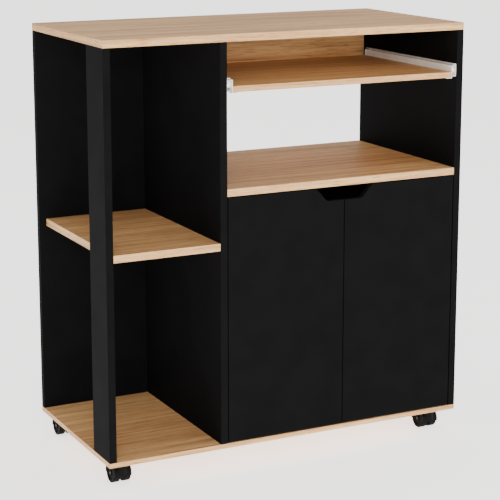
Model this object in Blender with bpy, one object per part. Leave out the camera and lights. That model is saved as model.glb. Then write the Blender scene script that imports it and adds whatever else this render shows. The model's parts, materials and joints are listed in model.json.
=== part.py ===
"""Kitchen island cart: a board carcass on four twin-wheel casters.

The left third is an open corner bay with one fixed shelf. The right two thirds hold
a see-through niche with a pull-out shelf on roller slides, over a cupboard with two
inset doors on concealed hinges. Metres, +Z up, front towards -Y, floor at z = 0.
"""

import math

import bmesh
import bpy
from mathutils import Matrix, Vector

# ---- Overall size ----
WIDTH = 0.800
DEPTH = 0.390
HEIGHT = 0.885

# ---- Boards ----
BOARD = 0.015
BASE_BOARD = 0.010
HARDBOARD = 0.003
FIT = 0.0003

# ---- Layout ----
BAY_WIDTH = 0.241
POST_DEPTH = 0.085
CORNER_SHELF_TOP = 0.475
TOP_SPACE = 0.086
NICHE_HEIGHT = 0.190
BACK_RAIL_HEIGHT = 0.100
GROOVE_DEPTH = 0.005
BACK_INSET = 0.0033

# ---- Doors ----
DOOR_GAP = 0.002
PULL_TOP_HALF = 0.070
PULL_BOTTOM_HALF = 0.036
PULL_DEPTH = 0.027
PULL_STEPS = 8

# ---- Inner shelf ----
INNER_SHELF_SETBACK = 0.025
INNER_SHELF_PLAY = 0.001
PIN_RADIUS = 0.0025
PIN_IN_PANEL = 0.008
PIN_OUT = 0.009
PIN_INSET = 0.040
PIN_PITCH = 0.064

# ---- Pull-out shelf and its roller slides ----
SLIDE_CLEARANCE = 0.0127
SLIDE_SHELF = 0.012
SLIDE_SHELF_DEPTH = 0.350
SLIDE_STEEL = 0.0012
RAIL_LENGTH = 0.350
RAIL_SETBACK = 0.002
RAIL_HEIGHT = 0.026
RAIL_FLANGE = 0.0082
RAIL_LIFT = 0.002
RUNNER_GAP = 0.0021
RUNNER_FOOT = 0.0105
ROLLER_PLAY = 0.0004
REAR_ROLLER_GAP = 0.001
FRONT_ROLLER_SMALLER = 0.0015
FRONT_ROLLER_INSET = 0.012
REAR_ROLLER_INSET = 0.012
ROLLER_PIN_RADIUS = 0.002
RAIL_SCREWS = (0.060, 0.190, 0.310)

# ---- Concealed hinges ----
CUP_RADIUS = 0.0175
CUP_DEPTH = 0.0115
CUP_WALL = 0.001
CUP_INSET = 0.022
CUP_FLANGE = 0.0012
CUP_FLANGE_RADIUS = 0.0205
HINGE_FROM_END = 0.090
HINGE_PLATE = 0.0022
HINGE_PLATE_HALF_HEIGHT = 0.020
HINGE_PLATE_LENGTH = 0.044
HINGE_PLATE_SETBACK = 0.034
HINGE_ARM_HALF_HEIGHT = 0.007
HINGE_ARM_RISE = 0.009
HINGE_ARM_INSET = 0.004
HINGE_ARM_TIP = 0.014
HINGE_ARM_STEEL = 0.004
HINGE_CLEARANCE = 0.001

# ---- Casters ----
CASTER_INSET = 0.040
CASTER_TRAIL = 0.015
WHEEL_RADIUS = 0.020
WHEEL_WIDTH = 0.0145
WEB_HALF = 0.0035
WHEEL_PLAY = 0.0005
HOOD_WALL = 0.002
HOOD_CLEARANCE = 0.001
HOOD_DROP = 0.004
HOOD_TO_RACE = 0.0015
AXLE_RADIUS = 0.003
PLATE_SIZE = 0.042
PLATE_THICKNESS = 0.002
PLATE_SCREW_SPACING = 0.032
RACE_RADIUS = 0.013
RACE_DROP = 0.0032
NECK_RADIUS = 0.0115
KING_PIN_RADIUS = 0.004

# ---- Fasteners: (distance along, radius) from the tip of the head inwards ----
CASTER_SCREW = [(0.0, 0.0018), (0.011, 0.0018)]
CONFIRMAT = [(0.0, 0.0048), (0.003, 0.0048), (0.003, 0.0026), (0.045, 0.0026), (0.048, 0.0012)]
PLATE_SCREW = [(0.0, 0.0034), (0.0019, 0.0018), (0.012, 0.0018)]
CAM_RADIUS = 0.0075
CAM_DEPTH = 0.0125
CAM_FROM_EDGE = 0.024
CAM_FROM_ENDS = 0.075
BASE_SCREW_FROM_EDGE = 0.070
FASTENER_SIDES = 8
ROUND_SIDES = 16
WHEEL_SIDES = 20

# ---- Worked-out positions ----
HOOD_RADIUS = WHEEL_RADIUS + HOOD_CLEARANCE + HOOD_WALL
CASTER_HEIGHT = WHEEL_RADIUS + HOOD_RADIUS + HOOD_TO_RACE + RACE_DROP + PLATE_THICKNESS + FIT
LEFT = -WIDTH / 2
RIGHT = WIDTH / 2
FRONT = -DEPTH / 2
BACK = DEPTH / 2
BASE_TOP = CASTER_HEIGHT + BASE_BOARD
PANEL_BOTTOM = BASE_TOP + FIT
TOP_UNDERSIDE = HEIGHT - BOARD
PANEL_TOP = TOP_UNDERSIDE - FIT
DIVIDER_LEFT = LEFT + BAY_WIDTH
DIVIDER_RIGHT = DIVIDER_LEFT + BOARD
SIDE_INNER = RIGHT - BOARD
SLIDE_SHELF_TOP = TOP_UNDERSIDE - TOP_SPACE
SLIDE_SHELF_BOTTOM = SLIDE_SHELF_TOP - SLIDE_SHELF
CUPBOARD_TOP = SLIDE_SHELF_BOTTOM - NICHE_HEIGHT
CUPBOARD_CEILING = CUPBOARD_TOP - BOARD
CUPBOARD_CENTRE = (DIVIDER_RIGHT + SIDE_INNER) / 2
BACK_PANEL_FRONT = BACK - BOARD
CUPBOARD_BACK_FRONT = BACK - BACK_INSET - HARDBOARD
INNER_SHELF_BOTTOM = (BASE_TOP + CUPBOARD_CEILING - BOARD) / 2
DOOR_BACK = FRONT + BOARD
DOOR_BOTTOM = BASE_TOP + DOOR_GAP
DOOR_TOP = CUPBOARD_CEILING - DOOR_GAP
HINGE_HEIGHTS = {
    "lower": DOOR_BOTTOM + HINGE_FROM_END,
    "upper": DOOR_TOP - HINGE_FROM_END,
}
RAIL_BOTTOM = SLIDE_SHELF_BOTTOM + RAIL_LIFT
RAIL_TOP = RAIL_BOTTOM + RAIL_HEIGHT
RAIL_FRONT = FRONT + RAIL_SETBACK
RAIL_BACK = RAIL_FRONT + RAIL_LENGTH
RUNNER_BOTTOM = SLIDE_SHELF_BOTTOM - FIT - SLIDE_STEEL
RUNNER_TOP = RAIL_TOP - SLIDE_STEEL - RUNNER_GAP
ROLLING_SPACE = RUNNER_TOP - RAIL_BOTTOM - 2 * SLIDE_STEEL
REAR_ROLLER_RADIUS = (ROLLING_SPACE - REAR_ROLLER_GAP - FIT) / 2
FRONT_ROLLER_RADIUS = REAR_ROLLER_RADIUS - FRONT_ROLLER_SMALLER
WHEEL_INNER = WEB_HALF + WHEEL_PLAY
WHEEL_OUTER = WHEEL_INNER + WHEEL_WIDTH
PLATE_TOP = CASTER_HEIGHT - FIT
PLATE_BOTTOM = PLATE_TOP - PLATE_THICKNESS
RACE_BOTTOM = PLATE_BOTTOM - RACE_DROP

X_AXIS = Vector((1, 0, 0))
Y_AXIS = Vector((0, 1, 0))
Z_AXIS = Vector((0, 0, 1))


def finish_material(name, colour, roughness, metallic=0.0):
    """A Principled material with one linear colour."""
    made = bpy.data.materials.new(name)
    made.use_nodes = True
    shader = made.node_tree.nodes["Principled BSDF"]
    shader.inputs["Base Color"].default_value = (*colour, 1.0)
    shader.inputs["Roughness"].default_value = roughness
    shader.inputs["Metallic"].default_value = metallic
    return made


def add_box(work, low, high):
    """Add a closed box between two corners to a bmesh."""
    middle = (Vector(low) + Vector(high)) / 2
    size = Vector(high) - Vector(low)
    place = Matrix.Translation(middle) @ Matrix.Diagonal((*size, 1.0))
    bmesh.ops.create_cube(work, size=1.0, matrix=place)


def add_prism(work, outline, start, end, axis):
    """Add a prism: outline points are on the two axes that follow the given one."""
    order = {"X": (2, 0, 1), "Y": (1, 2, 0), "Z": (0, 1, 2)}[axis]

    def point(pair, along):
        values = (pair[0], pair[1], along)
        return Vector([values[index] for index in order])

    first = [work.verts.new(point(pair, start)) for pair in outline]
    second = [work.verts.new(point(pair, end)) for pair in outline]
    count = len(outline)
    faces = [work.faces.new(first), work.faces.new(second)]
    for index in range(count):
        after = (index + 1) % count
        faces.append(work.faces.new((first[index], first[after], second[after], second[index])))
    bmesh.ops.recalc_face_normals(work, faces=faces)


def add_turned(work, profile, origin, direction, sides=ROUND_SIDES, closed=False):
    """Add a turned solid. A profile that isn't closed is capped on its axis."""
    turn = direction.to_track_quat("Z", "Y").to_matrix().to_4x4()
    place = Matrix.Translation(Vector(origin)) @ turn
    rings = []
    for along, radius in profile:
        ring = []
        for step in range(sides):
            angle = 2 * math.pi * step / sides
            local = Vector((radius * math.cos(angle), radius * math.sin(angle), along))
            ring.append(work.verts.new(place @ local))
        rings.append(ring)
    faces = []
    pairs = list(zip(rings, rings[1:]))
    if closed:
        pairs.append((rings[-1], rings[0]))
    else:
        faces += [work.faces.new(rings[0]), work.faces.new(rings[-1])]
    for one, two in pairs:
        for step in range(sides):
            after = (step + 1) % sides
            faces.append(work.faces.new((one[step], one[after], two[after], two[step])))
    bmesh.ops.recalc_face_normals(work, faces=faces)


def finish(name, work, material, origin=(0, 0, 0)):
    """Turn a bmesh into a named object whose origin is at the given point."""
    bmesh.ops.translate(work, verts=work.verts, vec=-Vector(origin))
    mesh = bpy.data.meshes.new(name)
    work.to_mesh(mesh)
    work.free()
    mesh.materials.append(material)
    mesh.shade_smooth()
    mesh.set_sharp_from_angle(angle=math.radians(40))
    made = bpy.data.objects.new(name, mesh)
    made.location = origin
    bpy.context.scene.collection.objects.link(made)
    return made


def helper(name, work):
    """A hidden solid that shapes another piece."""
    made = finish(name, work, CUTTER)
    made.hide_render = True
    made.display_type = "WIRE"
    return made


def shape(piece, other, operation="DIFFERENCE"):
    """Cut a helper from a piece, or join it on."""
    modifier = piece.modifiers.new(other.name, "BOOLEAN")
    modifier.operation = operation
    modifier.solver = "EXACT"
    modifier.object = other


def board(name, low, high, material):
    """A plain rectangular board."""
    work = bmesh.new()
    add_box(work, low, high)
    return finish(name, work, material)


def grown(profile, extra_start):
    """A fastener's profile with clearance, run out past its first end."""
    start = (profile[0][0] - extra_start, profile[0][1] + FIT)
    middle = [(along, radius + FIT) for along, radius in profile[:-1]]
    end = (profile[-1][0] + FIT, profile[-1][1] + FIT)
    return [start, *middle, end]


def drill(name, profile, places, pieces, run_out=0.001, sides=FASTENER_SIDES):
    """Sink equal fastener holes, each at a point and along a direction, in the pieces."""
    holes = bmesh.new()
    for origin, direction in places:
        add_turned(holes, grown(profile, run_out), origin, direction, sides)
    cutter = helper(name + "_holes", holes)
    for piece in pieces:
        shape(piece, cutter)


for old in list(bpy.data.objects):
    bpy.data.objects.remove(old, do_unlink=True)

OAK = finish_material("oak_laminate", (0.58, 0.40, 0.24), 0.45)
BLACK = finish_material("black_melamine", (0.016, 0.016, 0.016), 0.55)
FIBRE = finish_material("dark_hardboard", (0.05, 0.035, 0.025), 0.8)
WHITE_STEEL = finish_material("white_coated_steel", (0.75, 0.75, 0.73), 0.35)
NICKEL = finish_material("nickel_plate", (0.62, 0.60, 0.57), 0.28, 1.0)
ZINC = finish_material("zinc_plate", (0.55, 0.56, 0.58), 0.35, 1.0)
NYLON = finish_material("black_nylon", (0.02, 0.02, 0.02), 0.4)
ROLLER = finish_material("white_acetal", (0.80, 0.80, 0.78), 0.4)
CUTTER = finish_material("cutter", (1.0, 0.0, 1.0), 0.5)


# ---- Carcass boards ----
worktop = board("worktop", (LEFT, FRONT, TOP_UNDERSIDE), (RIGHT, BACK, HEIGHT), OAK)
base_board = board("base_board", (LEFT, FRONT, CASTER_HEIGHT), (RIGHT, BACK, BASE_TOP), OAK)
corner_post = board(
    "corner_post",
    (LEFT, FRONT, PANEL_BOTTOM),
    (LEFT + BOARD, FRONT + POST_DEPTH, PANEL_TOP),
    BLACK,
)
left_back_panel = board(
    "left_back_panel",
    (LEFT, BACK_PANEL_FRONT, PANEL_BOTTOM),
    (DIVIDER_LEFT - FIT, BACK, PANEL_TOP),
    BLACK,
)
divider_panel = board(
    "divider_panel",
    (DIVIDER_LEFT, FRONT, PANEL_BOTTOM),
    (DIVIDER_RIGHT, BACK, PANEL_TOP),
    BLACK,
)
right_side_panel = board(
    "right_side_panel",
    (SIDE_INNER, FRONT, PANEL_BOTTOM),
    (RIGHT, BACK, PANEL_TOP),
    BLACK,
)
corner_shelf = board(
    "corner_shelf",
    (LEFT + BOARD + FIT, FRONT, CORNER_SHELF_TOP - BOARD),
    (DIVIDER_LEFT - FIT, BACK_PANEL_FRONT - FIT, CORNER_SHELF_TOP),
    OAK,
)
middle_shelf = board(
    "middle_shelf",
    (DIVIDER_RIGHT + FIT, FRONT, CUPBOARD_CEILING),
    (SIDE_INNER - FIT, BACK, CUPBOARD_TOP),
    OAK,
)
back_rail = board(
    "back_rail",
    (DIVIDER_RIGHT + FIT, BACK_PANEL_FRONT, PANEL_TOP - BACK_RAIL_HEIGHT),
    (SIDE_INNER - FIT, BACK, PANEL_TOP),
    OAK,
)
cupboard_back = board(
    "cupboard_back",
    (DIVIDER_RIGHT - GROOVE_DEPTH, CUPBOARD_BACK_FRONT, PANEL_BOTTOM),
    (SIDE_INNER + GROOVE_DEPTH, CUPBOARD_BACK_FRONT + HARDBOARD, CUPBOARD_CEILING + GROOVE_DEPTH),
    FIBRE,
)

groove = bmesh.new()
add_box(
    groove,
    (DIVIDER_RIGHT - GROOVE_DEPTH - FIT, CUPBOARD_BACK_FRONT - FIT, BASE_TOP - BOARD),
    (
        SIDE_INNER + GROOVE_DEPTH + FIT,
        CUPBOARD_BACK_FRONT + HARDBOARD + FIT,
        CUPBOARD_CEILING + GROOVE_DEPTH + FIT,
    ),
)
back_groove = helper("back_groove", groove)
for grooved in (divider_panel, right_side_panel, middle_shelf):
    shape(grooved, back_groove)


# ---- Adjustable shelf on four pins ----
inner_shelf = board(
    "inner_shelf",
    (DIVIDER_RIGHT + INNER_SHELF_PLAY, FRONT + INNER_SHELF_SETBACK, INNER_SHELF_BOTTOM),
    (
        SIDE_INNER - INNER_SHELF_PLAY,
        CUPBOARD_BACK_FRONT - INNER_SHELF_PLAY,
        INNER_SHELF_BOTTOM + BOARD,
    ),
    OAK,
)
pin_height = INNER_SHELF_BOTTOM - FIT - PIN_RADIUS
pin_rows = {
    "front": FRONT + INNER_SHELF_SETBACK + PIN_INSET,
    "rear": CUPBOARD_BACK_FRONT - PIN_INSET,
}
pin_holes = bmesh.new()
pin = [(-PIN_IN_PANEL, PIN_RADIUS), (PIN_OUT, PIN_RADIUS)]
for side, face, inward in (("left", DIVIDER_RIGHT, X_AXIS), ("right", SIDE_INNER, -X_AXIS)):
    for place, row in pin_rows.items():
        work = bmesh.new()
        add_turned(work, pin, (face, row, pin_height), inward, FASTENER_SIDES)
        finish("shelf_pin_" + place + "_" + side, work, NICKEL)
        for level in (-PIN_PITCH, 0.0, PIN_PITCH):
            spot = (face, row, pin_height + level)
            add_turned(pin_holes, grown(pin, 0.0)[1:], spot, inward, FASTENER_SIDES)
pin_cutter = helper("shelf_pin_holes", pin_holes)
shape(divider_panel, pin_cutter)
shape(right_side_panel, pin_cutter)


# ---- Doors with a shared finger pull ----
def pull_outline():
    """The finger pull, a dip with eased corners, as (height, across) points."""
    side = []
    for step in range(PULL_STEPS + 1):
        share = step / PULL_STEPS
        across = PULL_TOP_HALF + (PULL_BOTTOM_HALF - PULL_TOP_HALF) * share
        down = PULL_DEPTH * (1 - math.cos(math.pi * share)) / 2
        side.append((DOOR_TOP - down, across))
    above = DOOR_TOP + DOOR_GAP / 2
    right = [(above, PULL_TOP_HALF), *side]
    left = [(height, -across) for height, across in reversed(right)]
    return [(height, CUPBOARD_CENTRE + across) for height, across in right + left]


pull = bmesh.new()
add_prism(pull, pull_outline(), FRONT - BOARD, DOOR_BACK + BOARD, "Y")
finger_pull = helper("finger_pull", pull)

door_edges = {
    "left": (DIVIDER_RIGHT + DOOR_GAP, CUPBOARD_CENTRE - DOOR_GAP / 2),
    "right": (CUPBOARD_CENTRE + DOOR_GAP / 2, SIDE_INNER - DOOR_GAP),
}
hinge_screws = []
hinge_arms = []
for side, (low_edge, high_edge) in door_edges.items():
    hinge_edge, inward, panel_face = (
        (low_edge, 1, DIVIDER_RIGHT) if side == "left" else (high_edge, -1, SIDE_INNER)
    )
    work = bmesh.new()
    add_box(work, (low_edge, FRONT, DOOR_BOTTOM), (high_edge, DOOR_BACK, DOOR_TOP))
    axis = (hinge_edge, FRONT, DOOR_BOTTOM)
    door = finish("door_" + side, work, BLACK, axis)
    shape(door, finger_pull)

    cup_holes = bmesh.new()
    tip = DOOR_BACK + FIT + CUP_FLANGE + HINGE_CLEARANCE
    plate_front = FRONT + HINGE_PLATE_SETBACK
    plate_back = plate_front + HINGE_PLATE_LENGTH
    reach = CUP_INSET + HINGE_ARM_TIP / 2
    side_view = [
        (FIT + HINGE_PLATE / 2, plate_back - HINGE_ARM_INSET),
        (FIT + HINGE_PLATE / 2, plate_front + HINGE_ARM_INSET),
        (reach - HINGE_ARM_TIP, tip),
        (reach, tip),
        (reach, tip + HINGE_ARM_STEEL),
        (HINGE_ARM_RISE, plate_front + 3 * HINGE_ARM_INSET),
        (HINGE_ARM_RISE, plate_back - HINGE_ARM_INSET),
    ]
    arm = [(panel_face + inward * across, along) for across, along in side_view]
    for level, height in HINGE_HEIGHTS.items():
        centre = (hinge_edge + inward * CUP_INSET, DOOR_BACK, height)
        cup = [
            (-CUP_DEPTH, CUP_RADIUS),
            (FIT, CUP_RADIUS),
            (FIT, CUP_FLANGE_RADIUS),
            (FIT + CUP_FLANGE, CUP_FLANGE_RADIUS),
            (FIT + CUP_FLANGE, CUP_RADIUS - CUP_WALL),
            (CUP_WALL - CUP_DEPTH, CUP_RADIUS - CUP_WALL),
        ]
        work = bmesh.new()
        add_turned(work, cup, centre, Y_AXIS)
        finish("hinge_cup_" + side + "_" + level, work, NICKEL, axis)
        hole = [(-CUP_DEPTH - FIT, CUP_RADIUS + FIT), (BOARD, CUP_RADIUS + FIT)]
        add_turned(cup_holes, hole, centre, Y_AXIS)

        near = panel_face + inward * FIT
        far = near + inward * HINGE_PLATE
        work = bmesh.new()
        add_box(
            work,
            (min(near, far), plate_front, height - HINGE_PLATE_HALF_HEIGHT),
            (max(near, far), plate_back, height + HINGE_PLATE_HALF_HEIGHT),
        )
        hinge_arm = finish("hinge_arm_" + side + "_" + level, work, NICKEL)
        work = bmesh.new()
        low, high = height - HINGE_ARM_HALF_HEIGHT, height + HINGE_ARM_HALF_HEIGHT
        add_prism(work, arm, low, high, "Z")
        shape(hinge_arm, helper("hinge_link_" + side + "_" + level, work), "UNION")
        hinge_arms.append(hinge_arm)
        screw_offset = (HINGE_PLATE_HALF_HEIGHT + HINGE_ARM_HALF_HEIGHT) / 2
        for offset in (-screw_offset, screw_offset):
            spot = (far, (plate_front + plate_back) / 2, height + offset)
            hinge_screws.append((spot, -X_AXIS * inward))
    shape(door, helper("cup_holes_" + side, cup_holes))
drill("hinge_screw", PLATE_SCREW, hinge_screws, [*hinge_arms, divider_panel, right_side_panel])


# ---- Pull-out shelf on two roller slides ----
shelf_left = DIVIDER_RIGHT + SLIDE_CLEARANCE
shelf_right = SIDE_INNER - SLIDE_CLEARANCE
sliding_shelf = board(
    "sliding_shelf",
    (shelf_left, FRONT, SLIDE_SHELF_BOTTOM),
    (shelf_right, FRONT + SLIDE_SHELF_DEPTH, SLIDE_SHELF_TOP),
    OAK,
)
front_roller_height = RUNNER_TOP - SLIDE_STEEL - FIT - FRONT_ROLLER_RADIUS
rear_roller_height = RAIL_BOTTOM + SLIDE_STEEL + FIT + REAR_ROLLER_RADIUS
front_roller_y = RAIL_FRONT + FRONT_ROLLER_INSET
rear_roller_y = FRONT + SLIDE_SHELF_DEPTH - REAR_ROLLER_INSET
rail_screws = []
rails = []
for side, panel_face, inward in (("left", DIVIDER_RIGHT, 1), ("right", SIDE_INNER, -1)):

    def across(distance):
        """The x of a point this far from the panel's face, towards the shelf."""
        return panel_face + inward * distance

    shelf_edge = SLIDE_CLEARANCE
    web = (FIT, FIT + SLIDE_STEEL)
    channel = [
        (across(web[0]), RAIL_BOTTOM),
        (across(RAIL_FLANGE), RAIL_BOTTOM),
        (across(RAIL_FLANGE), RAIL_BOTTOM + SLIDE_STEEL),
        (across(web[1]), RAIL_BOTTOM + SLIDE_STEEL),
        (across(web[1]), RAIL_TOP - SLIDE_STEEL),
        (across(RAIL_FLANGE), RAIL_TOP - SLIDE_STEEL),
        (across(RAIL_FLANGE), RAIL_TOP),
        (across(web[0]), RAIL_TOP),
    ]
    runner_web = (shelf_edge - FIT, shelf_edge - FIT - SLIDE_STEEL)
    runner_tip = web[1] + 2 * ROLLER_PLAY
    angle = [
        (across(runner_web[1]), RUNNER_BOTTOM),
        (across(shelf_edge + RUNNER_FOOT), RUNNER_BOTTOM),
        (across(shelf_edge + RUNNER_FOOT), RUNNER_BOTTOM + SLIDE_STEEL),
        (across(runner_web[0]), RUNNER_BOTTOM + SLIDE_STEEL),
        (across(runner_web[0]), RUNNER_TOP),
        (across(runner_tip), RUNNER_TOP),
        (across(runner_tip), RUNNER_TOP - SLIDE_STEEL),
        (across(runner_web[1]), RUNNER_TOP - SLIDE_STEEL),
    ]
    roller_span = (web[1] + ROLLER_PLAY, runner_web[1] - ROLLER_PLAY)
    roller_width = roller_span[1] - roller_span[0]
    towards_shelf = X_AXIS * inward

    work = bmesh.new()
    add_prism(work, [(z, x) for x, z in channel], RAIL_FRONT, RAIL_BACK, "Y")
    rail = finish("slide_rail_" + side, work, WHITE_STEEL)
    rails.append(rail)
    work = bmesh.new()
    pin = [(0.0, ROLLER_PIN_RADIUS), (roller_width + ROLLER_PLAY, ROLLER_PIN_RADIUS)]
    start = (across(web[1] - SLIDE_STEEL / 2), front_roller_y, front_roller_height)
    add_turned(work, pin, start, towards_shelf, FASTENER_SIDES)
    shape(rail, helper("rail_roller_pin_" + side, work), "UNION")

    work = bmesh.new()
    add_prism(work, [(z, x) for x, z in angle], FRONT, FRONT + SLIDE_SHELF_DEPTH, "Y")
    runner = finish("slide_runner_" + side, work, WHITE_STEEL)
    work = bmesh.new()
    start = (across(runner_web[1] + SLIDE_STEEL / 2), rear_roller_y, rear_roller_height)
    add_turned(work, pin, start, -towards_shelf, FASTENER_SIDES)
    shape(runner, helper("runner_roller_pin_" + side, work), "UNION")

    for place, radius, y, height in (
        ("front", FRONT_ROLLER_RADIUS, front_roller_y, front_roller_height),
        ("rear", REAR_ROLLER_RADIUS, rear_roller_y, rear_roller_height),
    ):
        work = bmesh.new()
        bore = ROLLER_PIN_RADIUS + FIT
        ring = [(0.0, bore), (0.0, radius), (roller_width, radius), (roller_width, bore)]
        centre = (across(roller_span[0]), y, height)
        add_turned(work, ring, centre, towards_shelf, ROUND_SIDES, closed=True)
        finish("slide_roller_" + place + "_" + side, work, ROLLER, centre)

    for along in RAIL_SCREWS:
        spot = (across(web[1]), RAIL_FRONT + along, (RAIL_BOTTOM + RAIL_TOP) / 2)
        rail_screws.append((spot, -towards_shelf))

drill("slide_screw", PLATE_SCREW, rail_screws, [*rails, divider_panel, right_side_panel])


# ---- Carcass fasteners ----
uprights = [corner_post, left_back_panel, divider_panel, right_side_panel]
divider_middle = (DIVIDER_LEFT + DIVIDER_RIGHT) / 2
side_middle = (SIDE_INNER + RIGHT) / 2
base_screw_spots = {
    "post": (LEFT + BOARD / 2, FRONT + POST_DEPTH / 2),
    "back": (LEFT + BAY_WIDTH / 2, BACK - BOARD / 2),
    "divider_front": (divider_middle, FRONT + BASE_SCREW_FROM_EDGE),
    "divider_rear": (divider_middle, BACK - BASE_SCREW_FROM_EDGE),
    "side_front": (side_middle, FRONT + BASE_SCREW_FROM_EDGE),
    "side_rear": (side_middle, BACK - BASE_SCREW_FROM_EDGE),
}
base_screws = []
for place, (x, y) in base_screw_spots.items():
    head = (x, y, CASTER_HEIGHT + FIT)
    work = bmesh.new()
    add_turned(work, CONFIRMAT, head, Z_AXIS, FASTENER_SIDES)
    finish("base_screw_" + place, work, ZINC)
    base_screws.append((head, Z_AXIS))
drill("base_screw", CONFIRMAT, base_screws, [base_board, *uprights])

# Cam pockets open downwards in the fixed shelves and backwards in the rear rail.
cam_pocket = [(0.0, CAM_RADIUS), (CAM_DEPTH, CAM_RADIUS)]
cams = []
middle_left = DIVIDER_RIGHT + CAM_FROM_EDGE
middle_right = SIDE_INNER - CAM_FROM_EDGE
for y in (FRONT + CAM_FROM_ENDS, BACK - CAM_FROM_ENDS):
    for x in (middle_left, middle_right):
        cams.append(((x, y, CUPBOARD_CEILING), Z_AXIS))
    corner_cam = (DIVIDER_LEFT - CAM_FROM_EDGE, y, CORNER_SHELF_TOP - BOARD)
    cams.append((corner_cam, Z_AXIS))
for x in (middle_left, middle_right):
    cams.append(((x, BACK, PANEL_TOP - BACK_RAIL_HEIGHT / 2), -Y_AXIS))
drill("cam", cam_pocket, cams, [middle_shelf, corner_shelf, back_rail], sides=ROUND_SIDES)


# ---- Casters ----
def wheel_profile(inner_face):
    """A wheel's closed section from its inner face outwards, with a dished outer side."""
    outer_face = inner_face + WHEEL_WIDTH
    bore = AXLE_RADIUS + FIT
    ease = 0.0012
    dish = outer_face - 0.003
    return [
        (inner_face, bore),
        (inner_face, WHEEL_RADIUS - ease),
        (inner_face + ease, WHEEL_RADIUS),
        (outer_face - ease, WHEEL_RADIUS),
        (outer_face, WHEEL_RADIUS - ease),
        (outer_face, WHEEL_RADIUS * 0.74),
        (dish, WHEEL_RADIUS * 0.68),
        (dish, WHEEL_RADIUS * 0.34),
        (outer_face, WHEEL_RADIUS * 0.30),
        (outer_face, bore),
    ]


def hood_outline(axle_y):
    """The hood's side, as (y, z) points: an arch over the wheels with a flat foot."""
    drop = math.asin(HOOD_DROP / HOOD_RADIUS)
    steps = 14
    points = []
    for step in range(steps + 1):
        angle = -drop + (math.pi + 2 * drop) * step / steps
        points.append(
            (
                axle_y + HOOD_RADIUS * math.cos(angle),
                WHEEL_RADIUS + HOOD_RADIUS * math.sin(angle),
            )
        )
    return points


caster_screws = []
caster_spots = {
    "front_left": (LEFT + CASTER_INSET, FRONT + CASTER_INSET),
    "front_right": (RIGHT - CASTER_INSET, FRONT + CASTER_INSET),
    "rear_left": (LEFT + CASTER_INSET, BACK - CASTER_INSET),
    "rear_right": (RIGHT - CASTER_INSET, BACK - CASTER_INSET),
}
caster_plates = []
for corner, (x, y) in caster_spots.items():
    axle_y = y + CASTER_TRAIL
    axle_point = (x, axle_y, WHEEL_RADIUS)

    work = bmesh.new()
    half = PLATE_SIZE / 2
    add_box(work, (x - half, y - half, PLATE_BOTTOM), (x + half, y + half, PLATE_TOP))
    plate = finish("caster_plate_" + corner, work, NYLON)
    work = bmesh.new()
    race = [(-RACE_DROP, RACE_RADIUS), (PLATE_THICKNESS / 2, RACE_RADIUS)]
    add_turned(work, race, (x, y, PLATE_BOTTOM), Z_AXIS)
    shape(plate, helper("caster_race_" + corner, work), "UNION")
    work = bmesh.new()
    bore = [(-RACE_DROP - 0.001, KING_PIN_RADIUS + FIT), (0.01, KING_PIN_RADIUS + FIT)]
    add_turned(work, bore, (x, y, PLATE_BOTTOM), Z_AXIS, 12)
    shape(plate, helper("king_pin_bore_" + corner, work))
    caster_plates.append(plate)
    spread = PLATE_SCREW_SPACING / 2
    for across_x in (-spread, spread):
        for along_y in (-spread, spread):
            spot = (x + across_x, y + along_y, PLATE_BOTTOM - FIT)
            caster_screws.append((spot, Z_AXIS))

    work = bmesh.new()
    add_prism(work, hood_outline(axle_y), x - WHEEL_OUTER, x + WHEEL_OUTER, "X")
    hood = finish("caster_hood_" + corner, work, NYLON, (x, y, 0))
    work = bmesh.new()
    neck = [
        (WHEEL_RADIUS, NECK_RADIUS),
        (RACE_BOTTOM - FIT, NECK_RADIUS),
        (RACE_BOTTOM - FIT, KING_PIN_RADIUS),
        (PLATE_TOP - FIT, KING_PIN_RADIUS),
    ]
    add_turned(work, neck, (x, y, 0), Z_AXIS)
    shape(hood, helper("caster_neck_" + corner, work), "UNION")
    work = bmesh.new()
    wheel_space = WHEEL_RADIUS + HOOD_CLEARANCE
    for outward in (-1, 1):
        pocket = [(WEB_HALF, wheel_space), (WHEEL_OUTER * 1.5, wheel_space)]
        add_turned(work, pocket, axle_point, X_AXIS * outward, WHEEL_SIDES)
    shape(hood, helper("wheel_pockets_" + corner, work))
    work = bmesh.new()
    hole = [(-WHEEL_INNER, AXLE_RADIUS + FIT), (WHEEL_INNER, AXLE_RADIUS + FIT)]
    add_turned(work, hole, axle_point, X_AXIS, 12)
    shape(hood, helper("axle_hole_" + corner, work))

    work = bmesh.new()
    axle = [(-WHEEL_OUTER, AXLE_RADIUS), (WHEEL_OUTER, AXLE_RADIUS)]
    add_turned(work, axle, axle_point, X_AXIS, 12)
    finish("caster_axle_" + corner, work, ZINC, axle_point)
    for place, outward in (("left", -1), ("right", 1)):
        work = bmesh.new()
        profile = wheel_profile(WHEEL_INNER)
        add_turned(work, profile, axle_point, X_AXIS * outward, WHEEL_SIDES, closed=True)
        finish("caster_wheel_" + corner + "_" + place, work, NYLON, axle_point)

drill("caster_screw", CASTER_SCREW, caster_screws, [base_board, *caster_plates])
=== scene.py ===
"""Kitchen island cart: the finished look, built round the fixed model of its parts.

Boards get eased, banded edges and printed oak or matt black faces. Casters, rollers,
hinge cups and doors are remade with fine curves, and screws and cams are added.
"""

from __future__ import annotations

import json
import logging
import math
from dataclasses import dataclass, field
from enum import Enum

import bmesh
import bpy
from mathutils import Matrix, Vector


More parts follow.
